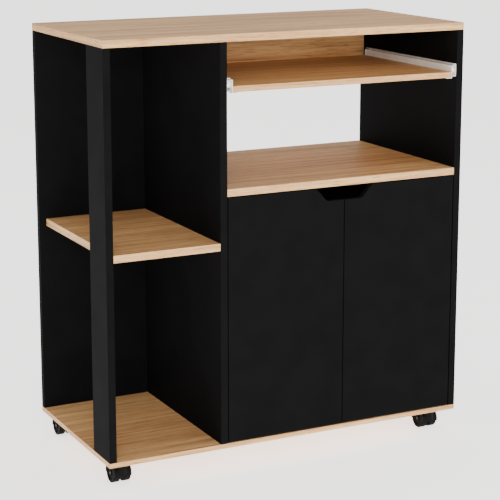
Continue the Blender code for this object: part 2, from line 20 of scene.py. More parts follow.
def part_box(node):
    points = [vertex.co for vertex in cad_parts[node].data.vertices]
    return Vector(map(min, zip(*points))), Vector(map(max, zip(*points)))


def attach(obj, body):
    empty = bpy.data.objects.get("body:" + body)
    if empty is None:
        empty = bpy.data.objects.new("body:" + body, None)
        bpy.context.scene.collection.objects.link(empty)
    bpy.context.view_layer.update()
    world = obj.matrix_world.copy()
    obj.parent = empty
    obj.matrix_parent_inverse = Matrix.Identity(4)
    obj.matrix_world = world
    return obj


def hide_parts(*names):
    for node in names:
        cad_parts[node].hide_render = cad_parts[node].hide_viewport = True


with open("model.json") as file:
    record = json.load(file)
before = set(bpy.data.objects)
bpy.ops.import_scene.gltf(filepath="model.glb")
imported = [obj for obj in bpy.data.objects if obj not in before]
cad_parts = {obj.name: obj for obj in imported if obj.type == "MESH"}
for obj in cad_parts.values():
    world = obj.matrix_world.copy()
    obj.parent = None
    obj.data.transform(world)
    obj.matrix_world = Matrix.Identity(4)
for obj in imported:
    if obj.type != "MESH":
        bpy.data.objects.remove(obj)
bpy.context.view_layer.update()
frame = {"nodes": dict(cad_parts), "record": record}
LOG = logging.getLogger("island_cart")
MM = 0.001
CORNERS = ("front_left", "front_right", "rear_left", "rear_right")
SIDES = ("left", "right")
LEVELS = ("lower", "upper")
# Points closer than this are sewn, faces flatter than this are joined, and edges sharper than this are eased.
SEW = 0.01 * MM
FLAT = math.radians(0.5)
SHARP = math.radians(35)

Colour = tuple[float, float, float, float]
Point = tuple[float, float, float]


class Finish(Enum):
    """The surfaces of the cart, each with the record's slot that it belongs to."""

    OAK = "oak_laminate"
    OAK_END = "oak_laminate end"
    BLACK = "black_melamine"
    HARDBOARD = "dark_hardboard"
    WHITE_STEEL = "white_coated_steel"
    NICKEL = "nickel_plate"
    ZINC = "zinc_plate"
    AXLE = "zinc_plate axle"
    NYLON = "black_nylon"
    TREAD = "black_tread"
    ACETAL = "white_acetal"

    @property
    def slot(self) -> str:
        """The record's material slot."""
        return self.value.split()[0]


# ---------------------------------------------------------------- materials


def linear(hex_value: str, alpha: float = 1.0) -> Colour:
    """Turn an sRGB hex value into a linear colour.

    Args:
        hex_value: Six hex digits, such as "C8A07A".
        alpha: Opacity.

    Returns:
        Linear red, green, blue and alpha.
    """
    parts = [int(hex_value[start : start + 2], 16) / 255 for start in (0, 2, 4)]
    bright = [part / 12.92 if part <= 0.04045 else ((part + 0.055) / 1.055) ** 2.4 for part in parts]
    return (*bright, alpha)


def add(
    tree: bpy.types.NodeTree,
    kind: str,
    settings: dict | None = None,
    values: dict | None = None,
    links: dict | None = None,
) -> bpy.types.Node:
    """Add one node with its settings, socket values and links.

    Args:
        tree: The node tree to add to.
        kind: The node's type name.
        settings: Node properties by name.
        values: Socket values by input name or index.
        links: Source sockets by input name or index.

    Returns:
        The new node.
    """
    made = tree.nodes.new(kind)
    for key, value in (settings or {}).items():
        setattr(made, key, value)
    for key, value in (values or {}).items():
        made.inputs[key].default_value = value
    for key, source in (links or {}).items():
        tree.links.new(source, made.inputs[key])
    return made


def ramp(node: bpy.types.Node, stops: list[tuple[float, str]]) -> None:
    """Set a colour ramp's stops.

    Args:
        node: The colour ramp node.
        stops: Position and hex colour of each stop, in order.
    """
    elements = node.color_ramp.elements
    while len(elements) < len(stops):
        elements.new(0.5)
    for element, (position, colour) in zip(elements, stops):
        element.position = position
        element.color = linear(colour)


def start_material(name: str, **constants: float | Colour) -> tuple:
    """Make a material with its shader's constant sockets set.

    Args:
        name: The material's name.
        constants: Principled socket values, with underscores for spaces.

    Returns:
        The material, its node tree, its shader and its object coordinates.
    """
    made = bpy.data.materials.new(name)
    made.use_nodes = True
    tree = made.node_tree
    shader = tree.nodes["Principled BSDF"]
    for key, value in constants.items():
        shader.inputs[key.replace("_", " ").title().replace("Ior", "IOR")].default_value = value
    coords = add(tree, "ShaderNodeTexCoord").outputs["Object"]
    return made, tree, shader, coords


def stretched(tree: bpy.types.NodeTree, coords: bpy.types.NodeSocket, size_mm: Point) -> bpy.types.NodeSocket:
    """Scale coordinates so that one pattern unit has a real size.

    Args:
        tree: The node tree.
        coords: Object coordinates in metres.
        size_mm: The pattern unit along X, Y and Z in millimetres.

    Returns:
        The scaled coordinates.
    """
    scale = tuple(1 / (size * MM) for size in size_mm)
    node = add(tree, "ShaderNodeMapping", values={"Scale": scale}, links={"Vector": coords})
    return node.outputs["Vector"]


@dataclass(frozen=True)
class OakLaminate:
    """Printed oak paper under melamine: long soft streaks, short pores, satin press texture."""

    grain_length: float = 420.0
    streak_width: float = 11.0
    figure_width: float = 62.0
    pore_length: float = 30.0
    pore_width: float = 1.6
    roughness: float = 0.5
    specular: float = 0.22

    def make(self, name: str, along: str) -> bpy.types.Material:
        """Build the material.

        Args:
            name: The material's name.
            along: The axis that the grain follows, X or Y.

        Returns:
            The material.
        """
        made, tree, shader, coords = start_material(
            name,
            roughness=self.roughness,
            specular_ior_level=self.specular,
        )

        def grain(length: float, width: float) -> bpy.types.NodeSocket:
            """Coordinates stretched along the grain, with real sizes in millimetres."""
            size = (length, width, width) if along == "X" else (width, length, width)
            return stretched(tree, coords, size)

        # The paper's broad colour drift, its streaks, then its dark pores.
        figure = add(
            tree,
            "ShaderNodeTexNoise",
            values={"Scale": 1.0, "Detail": 3.0, "Roughness": 0.5, "Distortion": 0.9},
            links={"Vector": grain(self.grain_length * 1.6, self.figure_width)},
        )
        streaks = add(
            tree,
            "ShaderNodeTexNoise",
            values={"Scale": 1.0, "Detail": 7.0, "Roughness": 0.66, "Distortion": 0.35},
            links={"Vector": grain(self.grain_length, self.streak_width)},
        )
        pores = add(
            tree,
            "ShaderNodeTexNoise",
            values={"Scale": 1.0, "Detail": 2.0, "Roughness": 0.5},
            links={"Vector": grain(self.pore_length, self.pore_width)},
        )
        tone = add(tree, "ShaderNodeValToRGB", links={"Fac": streaks.outputs["Fac"]})
        ramp(tone, [(0.33, "84593A"), (0.45, "B28659"), (0.55, "CDA16D"), (0.68, "E1BA83")])
        drift = add(tree, "ShaderNodeValToRGB", links={"Fac": figure.outputs["Fac"]})
        ramp(drift, [(0.36, "A87B51"), (0.52, "CBA06B"), (0.64, "DBB27B")])
        blended = add(
            tree,
            "ShaderNodeMix",
            settings={"data_type": "RGBA"},
            values={0: 0.35},
            links={6: tone.outputs["Color"], 7: drift.outputs["Color"]},
        )
        pore_mask = add(tree, "ShaderNodeValToRGB", links={"Fac": pores.outputs["Fac"]})
        ramp(pore_mask, [(0.54, "000000"), (0.68, "B8B8B8")])
        coloured = add(
            tree,
            "ShaderNodeMix",
            settings={"data_type": "RGBA"},
            values={7: linear("64402A")},
            links={0: pore_mask.outputs["Color"], 6: blended.outputs[2]},
        )
        pressed = add(
            tree,
            "ShaderNodeBump",
            values={"Strength": 0.18, "Distance": 0.15 * MM},
            links={"Height": streaks.outputs["Fac"]},
        )
        tree.links.new(coloured.outputs[2], shader.inputs["Base Color"])
        tree.links.new(pressed.outputs["Normal"], shader.inputs["Normal"])
        return made


@dataclass(frozen=True)
class MottledFinish:
    """A coated, moulded or plated surface: slight colour drift, fine grain and rubbed patches."""

    name: str
    dark: str
    light: str
    roughness: tuple[float, float]
    metallic: float
    grain_mm: float
    grain_depth_mm: float
    patch_mm: float = 60.0
    specular: float = 0.5

    def make(self) -> bpy.types.Material:
        """Build the material.

        Returns:
            The material.
        """
        made, tree, shader, coords = start_material(
            self.name,
            metallic=self.metallic,
            specular_ior_level=self.specular,
        )
        patch = add(
            tree,
            "ShaderNodeTexNoise",
            values={"Scale": 1.0, "Detail": 4.0, "Roughness": 0.6},
            links={"Vector": stretched(tree, coords, (self.patch_mm,) * 3)},
        )
        fine = add(
            tree,
            "ShaderNodeTexNoise",
            values={"Scale": 1.0, "Detail": 2.0, "Roughness": 0.5},
            links={"Vector": stretched(tree, coords, (self.grain_mm,) * 3)},
        )
        colour = add(tree, "ShaderNodeValToRGB", links={"Fac": patch.outputs["Fac"]})
        ramp(colour, [(0.35, self.dark), (0.65, self.light)])
        rough = add(
            tree,
            "ShaderNodeMapRange",
            values={1: 0.3, 2: 0.7, 3: self.roughness[0], 4: self.roughness[1]},
            links={0: patch.outputs["Fac"]},
        )
        grain = add(
            tree,
            "ShaderNodeBump",
            values={"Strength": 0.35, "Distance": self.grain_depth_mm * MM},
            links={"Height": fine.outputs["Fac"]},
        )
        tree.links.new(colour.outputs["Color"], shader.inputs["Base Color"])
        tree.links.new(rough.outputs[0], shader.inputs["Roughness"])
        tree.links.new(grain.outputs["Normal"], shader.inputs["Normal"])
        return made


# Sizes are in millimetres. Grain finer than 1 mm is drawn at 1 mm or more, so that it shows.
MOTTLED = {
    # Melamine paper pressed matt: near black, with next to no sheen.
    Finish.BLACK: MottledFinish(
        "matt_black_melamine", "0D0D0E", "101011", (0.56, 0.66), 0.0, 1.5, 0.03, specular=0.015
    ),
    # Hardboard: brown-black fibre mat, no gloss.
    Finish.HARDBOARD: MottledFinish("dark_hardboard", "2A201A", "3B2E25", (0.75, 0.9), 0.0, 2.0, 0.1, 14.0),
    # Epoxy powder coat: even white with a light orange peel.
    Finish.WHITE_STEEL: MottledFinish("white_powder_coat", "DAD9D4", "E6E5E1", (0.3, 0.4), 0.0, 1.5, 0.03),
    # Bright nickel on pressed steel: warm grey metal.
    Finish.NICKEL: MottledFinish("nickel_plated_steel", "B8B4AC", "CBC8C1", (0.2, 0.34), 1.0, 3.0, 0.01, 9.0),
    # Clear zinc on a screw: cooler, duller metal.
    Finish.ZINC: MottledFinish("zinc_plated_steel", "A6A9AD", "C0C3C7", (0.3, 0.46), 1.0, 1.5, 0.02, 5.0),
    # Moulded nylon: black with a satin spark-eroded grain.
    Finish.NYLON: MottledFinish(
        "moulded_black_nylon", "070708", "0B0B0C", (0.42, 0.56), 0.0, 1.0, 0.04, 12.0, 0.06
    ),
    # Wheel tyre: slightly greyer than the hood, and rubbed dull.
    Finish.TREAD: MottledFinish(
        "black_wheel_tyre", "0A0A0B", "101010", (0.56, 0.72), 0.0, 1.0, 0.05, 8.0, 0.05
    ),
    # Ends of the axles: steel blued dark.
    Finish.AXLE: MottledFinish("blued_axle_steel", "2E2F31", "3C3D40", (0.4, 0.52), 1.0, 1.5, 0.02, 5.0),
    # Acetal roller: slippery white plastic.
    Finish.ACETAL: MottledFinish("white_acetal", "E4E3DE", "EFEEEA", (0.26, 0.34), 0.0, 2.0, 0.02, 10.0),
}


def make_materials() -> dict[Finish, bpy.types.Material]:
    """Build every finish once.

    Returns:
        The material of each finish.
    """
    made = {finish: recipe.make() for finish, recipe in MOTTLED.items()}
    made[Finish.OAK] = OakLaminate().make("oak_print_laminate", "X")
    made[Finish.OAK_END] = OakLaminate().make("oak_edge_banding", "Y")
    return made


# ------------------------------------------------------------ shared tools


@dataclass
class Workshop:
    """Turns meshes into finished pieces that ride on the cart's bodies."""

    materials: dict[Finish, bpy.types.Material] = field(default_factory=make_materials)
    bodies: dict[str, str] = field(default_factory=dict)

    def __post_init__(self) -> None:
        """Look up the body of each node."""
        for body, nodes in frame["record"]["behaviour"]["bodies"].items():
            self.bodies.update({node: body for node in nodes})

    def piece(self, name: str, work: bmesh.types.BMesh, finish: Finish) -> bpy.types.Object:
        """Turn a bmesh into an object with one finish.

        Args:
            name: The piece's name.
            work: The mesh under construction, which is freed.
            finish: Its surface.

        Returns:
            The new object, at the origin.
        """
        mesh = bpy.data.meshes.new(name)
        work.to_mesh(mesh)
        work.free()
        mesh.materials.append(self.materials[finish])
        made = bpy.data.objects.new(name, mesh)
        bpy.context.scene.collection.objects.link(made)
        return made

    def helper(self, name: str, work: bmesh.types.BMesh) -> bpy.types.Object:
        """Make a solid that only shapes another piece.

        Args:
            name: The helper's name.
            work: The mesh under construction, which is freed.

        Returns:
            The helper.
        """
        return self.piece(name, work, Finish.ZINC)

    def bake(self, piece: bpy.types.Object, helpers: list[bpy.types.Object] | None = None) -> None:
        """Apply a piece's modifiers and delete what they used.

        Args:
            piece: The object to bake.
            helpers: Objects that only its modifiers need.
        """
        graph = bpy.context.evaluated_depsgraph_get()
        baked = bpy.data.meshes.new_from_object(piece.evaluated_get(graph), depsgraph=graph)
        piece.modifiers.clear()
        baked.name = piece.name
        piece.data = baked
        for used in helpers or []:
            bpy.data.objects.remove(used, do_unlink=True)

    def cut(self, piece: bpy.types.Object, other: bpy.types.Object, operation: str = "DIFFERENCE") -> None:
        """Cut a helper from a piece, or join it on, and delete the helper.

        Args:
            piece: The object to change.
            other: The helper.
            operation: The Boolean's operation, DIFFERENCE or UNION.
        """
        modifier = piece.modifiers.new("shape", "BOOLEAN")
        modifier.operation = operation
        modifier.solver = "EXACT"
        modifier.object = other
        self.bake(piece, [other])

    def ease(self, piece: bpy.types.Object, width: float, segments: int = 2) -> None:
        """Round a piece's sharp edges and even out its shading.

        Args:
            piece: The object to ease.
            width: The rounding in metres.
            segments: Faces across each rounded edge.
        """
        piece.data.shade_smooth()
        bevel = piece.modifiers.new("ease", "BEVEL")
        bevel.width = width
        bevel.segments = segments
        bevel.limit_method = "ANGLE"
        bevel.angle_limit = SHARP
        bevel.miter_outer = "MITER_ARC"
        even = piece.modifiers.new("even", "WEIGHTED_NORMAL")
        even.keep_sharp = True
        self.bake(piece)

    def copy_node(self, node: str, finish: Finish, join_flat: bool = True) -> bpy.types.Object:
        """Copy a node's mesh, sewn together.

        Args:
            node: The node's name.
            finish: The copy's surface.
            join_flat: Whether to join up triangles that lie flat.

        Returns:
            The copy.
        """
        work = bmesh.new()
        work.from_mesh(frame["nodes"][node].data)
        bmesh.ops.remove_doubles(work, verts=work.verts, dist=SEW)
        if join_flat:
            bmesh.ops.dissolve_limit(work, angle_limit=FLAT, verts=work.verts, edges=work.edges)
        return self.piece(node + "_finished", work, finish)

    def fit(self, piece: bpy.types.Object, node: str, finish: Finish) -> None:
        """Put a finished piece in place of its node, on the node's body.

        Args:
            piece: The finished object.
            node: The node it stands for.
            finish: Its surface. Not used.
        """
        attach(piece, self.bodies[node])
        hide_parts(node)
        LOG.info("%s stands for %s on %s", piece.name, node, self.bodies[node])

    def attach(self, piece: bpy.types.Object, body: str, finish: Finish) -> None:
        """Fix an added piece, which stands for no node, to a body.

        Args:
            piece: The finished object.
            body: The body that it rides on.
            finish: Its surface. Not used.
        """
        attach(piece, body)
        LOG.info("%s added to %s", piece.name, body)


def turned(
    profile: list[tuple[float, float]],
    origin: Point,
    direction: Vector,
    sides: int = 48,
    closed: bool = False,
) -> bmesh.types.BMesh:
    """Turn a profile about an axis.

    Args:
        profile: Distance along the axis and radius of each ring.
        origin: A point on the axis, where the distance is 0.
        direction: The axis.
        sides: Faces round the axis.
        closed: Whether the profile closes on itself, leaving a bore.

    Returns:
        The turned solid.
    """
    work = bmesh.new()
    place = Matrix.Translation(Vector(origin)) @ direction.to_track_quat("Z", "Y").to_matrix().to_4x4()
    rings = []
    for along, radius in profile:
        angles = [2 * math.pi * step / sides for step in range(sides)]
        spots = [Vector((radius * math.cos(a), radius * math.sin(a), along)) for a in angles]
        rings.append([work.verts.new(place @ spot) for spot in spots])
    pairs = list(zip(rings, rings[1:]))
    if closed:
        pairs.append((rings[-1], rings[0]))
    else:
        work.faces.new(rings[0])
        work.faces.new(rings[-1])
    for one, two in pairs:
        for step in range(sides):
            after = (step + 1) % sides
            work.faces.new((one[step], one[after], two[after], two[step]))
    bmesh.ops.recalc_face_normals(work, faces=work.faces)
    return work


def prism(outline: list[Point], along: Vector) -> bmesh.types.BMesh:
    """Draw a flat outline out into a solid.

    Args:
        outline: The outline's points in space, in order.
        along: How far and which way it is drawn.

    Returns:
        The solid.
    """
    work = bmesh.new()
    face = work.faces.new([work.verts.new(point) for point in outline])
    drawn = bmesh.ops.extrude_face_region(work, geom=[face])
    moved = [item for item in drawn["geom"] if isinstance(item, bmesh.types.BMVert)]
    bmesh.ops.translate(work, verts=moved, vec=along)
    bmesh.ops.recalc_face_normals(work, faces=work.faces)
    return work


def rounded(profile: list[tuple[float, float]], radius: float, steps: int = 4) -> list[tuple[float, float]]:
    """Round the corners of a closed profile.

    Args:
        profile: Corner points in order.
        radius: The most that a corner is cut back by.
        steps: Points round each corner, less one.

    Returns:
        The points with an arc-like curve at every corner.
    """
    result = []
    count = len(profile)
    for index in range(count):
        corner = Vector(profile[index])
        before = Vector(profile[index - 1]) - corner
        after = Vector(profile[(index + 1) % count]) - corner
        back = min(radius, before.length * 0.45, after.length * 0.45)
        start = corner + before.normalized() * back
        end = corner + after.normalized() * back
        for step in range(steps + 1):
            share = step / steps
            point = start * (1 - share) ** 2 + corner * 2 * share * (1 - share) + end * share**2
            result.append((point.x, point.y))
    return result


# ------------------------------------------------------------------ boards


@dataclass
class Boards:
    """Chipboard panels with banded edges: oak print for what is used, black for what holds."""

    shop: Workshop
    edge_round: float = 0.7 * MM
    hardboard_round: float = 0.2 * MM
    faces_sideways: float = 0.8
    oak: tuple[str, ...] = (
        "worktop",
        "base_board",
        "corner_shelf",
        "middle_shelf",
        "back_rail",
        "inner_shelf",
        "sliding_shelf",
    )
    black: tuple[str, ...] = (
        "corner_post",
        "left_back_panel",
        "divider_panel",
        "right_side_panel",
    )

    def band_ends(self, piece: bpy.types.Object) -> None:
        """Give the faces that look sideways the banding whose grain runs front to back.

        Args:
            piece: The finished board.
        """
        piece.data.materials.append(self.shop.materials[Finish.OAK_END])
        for face in piece.data.polygons:
            if abs(face.normal.x) > self.faces_sideways:
                face.material_index = 1

    def build(self) -> None:
        """Finish every fixed board."""
        for node in self.oak:
            # The base board has many screw holes, and one face round them all draws torn.
            piece = self.shop.copy_node(node, Finish.OAK, join_flat=node != "base_board")
            self.shop.ease(piece, self.edge_round)
            self.band_ends(piece)
            self.shop.fit(piece, node, Finish.OAK)
        for node in self.black:
            piece = self.shop.copy_node(node, Finish.BLACK)
            self.shop.ease(piece, self.edge_round)
            self.shop.fit(piece, node, Finish.BLACK)
        back = self.shop.copy_node("cupboard_back", Finish.HARDBOARD)
        self.shop.ease(back, self.hardboard_round, 1)
        self.shop.fit(back, "cupboard_back", Finish.HARDBOARD)


@dataclass
class Doors:
    """Two inset doors that share a dipped finger pull at their meeting edges."""

    shop: Workshop
    pull_top_half: float = 70 * MM
    pull_bottom_half: float = 36 * MM
    pull_depth: float = 27 * MM
    pull_steps: int = 28
    cup_radius: float = 17.8 * MM
    cup_depth: float = 11.8 * MM
    edge_round: float = 0.8 * MM

    def outline(self, low: Vector, high: Vector, centre: float, side: str) -> list[Point]:
        """The door's front face, as points in order round it.

        Args:
            low: The door's lowest corner.
            high: The door's highest corner.
            centre: Where the two doors meet.
            side: left or right.

        Returns:
            The points, all on the door's front plane.
        """
        sign = -1 if side == "left" else 1
        hinge_x, free_x = (low.x, high.x) if side == "left" else (high.x, low.x)
        points = [(hinge_x, low.y, low.z), (free_x, low.y, low.z)]
        points.append((free_x, low.y, high.z - self.pull_depth))
        # The dip rises from its floor to the door's top in half a cosine wave.
        for step in range(self.pull_steps, -1, -1):
            share = step / self.pull_steps
            across = self.pull_top_half + (self.pull_bottom_half - self.pull_top_half) * share
            down = self.pull_depth * (1 - math.cos(math.pi * share)) / 2
            points.append((centre + sign * across, low.y, high.z - down))
        points.append((hinge_x, low.y, high.z))
        return points

    def build(self) -> None:
        """Finish both doors."""
        boxes = {side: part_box("door_" + side) for side in SIDES}
        centre = (boxes["left"][1][0] + boxes["right"][0][0]) / 2
        for side, (low, high) in boxes.items():
            low, high = Vector(low), Vector(high)
            thick = high.y - low.y
            work = prism(self.outline(low, high, centre, side), Vector((0, thick, 0)))
            door = self.shop.piece("door_" + side + "_finished", work, Finish.BLACK)
            for level in LEVELS:
                cup_low, cup_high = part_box("hinge_cup_" + side + "_" + level)
                spot = (
                    (cup_low[0] + cup_high[0]) / 2,
                    high.y,
                    (cup_low[2] + cup_high[2]) / 2,
                )
                hole = turned(
                    [(-self.cup_depth, self.cup_radius), (thick, self.cup_radius)],
                    spot,
                    Vector((0, 1, 0)),
                )
                self.shop.cut(door, self.shop.helper("cup_hole", hole))
            self.shop.ease(door, self.edge_round)
            self.shop.fit(door, "door_" + side, Finish.BLACK)


# ------------------------------------------------------------ steel fittings


@dataclass
class Hinges:
    """Concealed hinges: a pressed cup in the door and a cranked arm on the panel."""

    shop: Workshop
    cup_depth: float = 11.5 * MM
    cup_radius: float = 17.5 * MM
    flange_radius: float = 20.2 * MM
    flange: float = 1.2 * MM
    wall: float = 1.0 * MM
    stand_off: float = 0.3 * MM
    cup_round: float = 0.35 * MM
    arm_round: float = 0.5 * MM

    def build(self) -> None:
        """Finish the four cups and the four arms."""
        for side in SIDES:
            for level in LEVELS:
                node = f"hinge_cup_{side}_{level}"
                low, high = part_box(node)
                top = self.stand_off + self.flange
                centre = ((low[0] + high[0]) / 2, high[1] - top, (low[2] + high[2]) / 2)
                inner = self.cup_radius - self.wall
                section = [
                    (-self.cup_depth, self.cup_radius),
                    (self.stand_off, self.cup_radius),
                    (self.stand_off, self.flange_radius),
                    (top, self.flange_radius),
                    (top, inner),
                    (self.wall - self.cup_depth, inner),
                ]
                work = turned(section, centre, Vector((0, 1, 0)))
                cup = self.shop.piece(node + "_finished", work, Finish.NICKEL)
                self.shop.ease(cup, self.cup_round)
                self.shop.fit(cup, node, Finish.NICKEL)
                node = f"hinge_arm_{side}_{level}"
                arm = self.shop.copy_node(node, Finish.NICKEL)
                self.shop.ease(arm, self.arm_round)
                self.shop.fit(arm, node, Finish.NICKEL)


@dataclass
class Slides:
    """Roller slides: folded steel rails and runners with plastic rollers."""

    shop: Workshop
    steel_round: float = 0.25 * MM
    bore: float = 2.3 * MM
    corner_round: float = 0.5 * MM
    groove: float = 0.6 * MM
    groove_walls: tuple[float, ...] = (0.8, 0.76, 0.5, 0.46)

    def roller(self, node: str) -> bpy.types.Object:
        """Turn one roller with eased rims and a dished hub.

        Args:
            node: The roller's node.

        Returns:
            The roller.
        """
        low, high = (Vector(corner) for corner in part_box(node))
        centre = (low + high) / 2
        half = (high.x - low.x) / 2
        radius = (high.z - low.z) / 2
        # The groove's walls are shares of the radius, from its outer lip to its inner lip.
        outer_lip, outer_floor, inner_floor, inner_lip = (radius * share for share in self.groove_walls)
        section = [
            (-half, self.bore),
            (-half, radius),
            (half, radius),
            (half, outer_lip),
            (half - self.groove, outer_floor),
            (half - self.groove, inner_floor),
            (half, inner_lip),
            (half, self.bore),
        ]
        work = turned(rounded(section, self.corner_round), tuple(centre), Vector((1, 0, 0)), 40, True)
        return self.shop.piece(node + "_finished", work, Finish.ACETAL)

    def build(self) -> None:
        """Finish the rails, runners and rollers."""
        for side in SIDES:
            for part in ("slide_rail_", "slide_runner_"):
                steel = self.shop.copy_node(part + side, Finish.WHITE_STEEL)
                self.shop.ease(steel, self.steel_round)
                self.shop.fit(steel, part + side, Finish.WHITE_STEEL)
            for place in ("front", "rear"):
                node = f"slide_roller_{place}_{side}"
                roller = self.roller(node)
                roller.data.shade_smooth()
                self.shop.fit(roller, node, Finish.ACETAL)


@dataclass
class SmallSteel:
    """Pieces that need only eased edges: shelf pins, caster axles and base screws."""

    shop: Workshop
    edge_round: float = 0.3 * MM

    def build(self) -> None:
        """Finish each pin, axle and screw."""
        for node in sorted(frame["nodes"]):
            if node.startswith("shelf_pin_"):
                finish = Finish.NICKEL
            elif node.startswith("base_screw_"):
                finish = Finish.ZINC
            elif node.startswith("caster_axle_"):
                finish = Finish.AXLE
            else:
                continue
            piece = self.shop.copy_node(node, finish)
            self.shop.ease(piece, self.edge_round, 1)
            self.shop.fit(piece, node, finish)


# ----------------------------------------------------------------- casters


@dataclass
class Casters:
    """Four swivelling casters, each with two wheels under one arched hood."""

    shop: Workshop
    wheel_radius: float = 20 * MM
    web_half: float = 3.5 * MM
    wheel_play: float = 0.5 * MM
    wheel_width: float = 14.5 * MM
    hood_wall: float = 2 * MM
    hood_clearance: float = 1 * MM
    hood_drop: float = 4 * MM
    trail: float = 15 * MM
    neck_radius: float = 11.5 * MM
    king_pin_radius: float = 4 * MM
    race_bottom: float = 44.5 * MM
    pin_top: float = 49.4 * MM
    race_gap: float = 0.3 * MM
    axle_bore: float = 3.3 * MM
    edge_round: float = 0.6 * MM
    wheel_round: float = 1.1 * MM
    arch_steps: int = 40
    # The wheel's outer face: how deep each ring lies in it, and the ring's share of the radius.
    face_rings: tuple[tuple[float, float], ...] = (
        (0.0, 0.80),
        (0.8 * MM, 0.77),
        (0.8 * MM, 0.72),
        (2.6 * MM, 0.66),
        (2.6 * MM, 0.36),
        (0.3 * MM, 0.31),
        (0.0, 0.27),
    )

    def wheel_section(self) -> list[tuple[float, float]]:
        """The wheel's section from its inner face outwards.

        Returns:
            Distance along the axle and radius of each corner.
        """
        inner = self.web_half + self.wheel_play
        outer = inner + self.wheel_width
        radius = self.wheel_radius
        face = [(outer - deep, radius * share) for deep, share in self.face_rings]
        return [
            (inner, self.axle_bore),
            (inner, radius),
            (outer, radius),
            *face,
            (outer, self.axle_bore),
        ]

    def hood(self, corner: str, x: float, y: float) -> bpy.types.Object:
        """Model one hood: arch, middle web, neck and king pin.

        Args:
            corner: The caster's corner.
            x: The swivel axis's place across.
            y: The swivel axis's place front to back.

        Returns:
            The hood.
        """
        axle_y = y + self.trail
        radius = self.wheel_radius + self.hood_clearance + self.hood_wall
        drop = math.asin(self.hood_drop / radius)
        half = self.web_half + self.wheel_play + self.wheel_width
        outline = []
        for step in range(self.arch_steps + 1):
            angle = -drop + (math.pi + 2 * drop) * step / self.arch_steps
            across = axle_y + radius * math.cos(angle)
            outline.append((x - half, across, self.wheel_radius + radius * math.sin(angle)))
        arch = prism(outline, Vector((2 * half, 0, 0)))
        made = self.shop.piece(f"caster_hood_{corner}_finished", arch, Finish.NYLON)
        neck = turned(
            [
                (self.wheel_radius, self.neck_radius),
                (self.race_bottom - self.race_gap, self.neck_radius),
                (self.race_bottom - self.race_gap, self.king_pin_radius),
                (self.pin_top, self.king_pin_radius),
            ],
            (x, y, 0),
            Vector((0, 0, 1)),
            40,
        )
        self.shop.cut(made, self.shop.helper("neck", neck), "UNION")
        space = self.wheel_radius + self.hood_clearance
        axle = (x, axle_y, self.wheel_radius)
        for outward in (-1, 1):
            pocket = turned([(self.web_half, space), (half * 1.5, space)], axle, Vector((outward, 0, 0)), 64)
            self.shop.cut(made, self.shop.helper("pocket", pocket))
        hole = turned([(-half, self.axle_bore), (half, self.axle_bore)], axle, Vector((1, 0, 0)), 24)
        self.shop.cut(made, self.shop.helper("hole", hole))
        return made

    def build(self) -> None:
        """Finish every plate, hood and wheel."""
        for corner in CORNERS:
            node = "caster_plate_" + corner
            low, high = (Vector(point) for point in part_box(node))
            x, y = (low.x + high.x) / 2, (low.y + high.y) / 2
            plate = self.shop.copy_node(node, Finish.NYLON)
            self.shop.ease(plate, self.edge_round)
            self.shop.fit(plate, node, Finish.NYLON)
            hood = self.hood(corner, x, y)
            self.shop.ease(hood, self.edge_round)
            self.shop.fit(hood, "caster_hood_" + corner, Finish.NYLON)
            for side, outward in zip(SIDES, (-1, 1)):
                node = f"caster_wheel_{corner}_{side}"
                section = rounded(self.wheel_section(), self.wheel_round)
                axle = (x, y + self.trail, self.wheel_radius)
                work = turned(section, axle, Vector((outward, 0, 0)), 64, True)
                wheel = self.shop.piece(node + "_finished", work, Finish.TREAD)
                wheel.data.shade_smooth()
                self.shop.fit(wheel, node, Finish.TREAD)


# --------------------------------------------------------------- fasteners


class Head(Enum):
    """Fastener heads: base radius, top radius, height, slot length, width and depth, in mm."""

    PAN = (3.4, 2.5, 1.6, 4.0, 0.8, 0.9)
    COUNTERSUNK = (2.0, 3.3, 1.5, 4.0, 0.8, 0.9)
    CAM = (7.4, 7.4, 12.0, 9.0, 2.2, 3.0)


HEAD_INPUTS = ("Base Radius", "Top Radius", "Height", "Slot Length", "Slot Width", "Slot Depth")


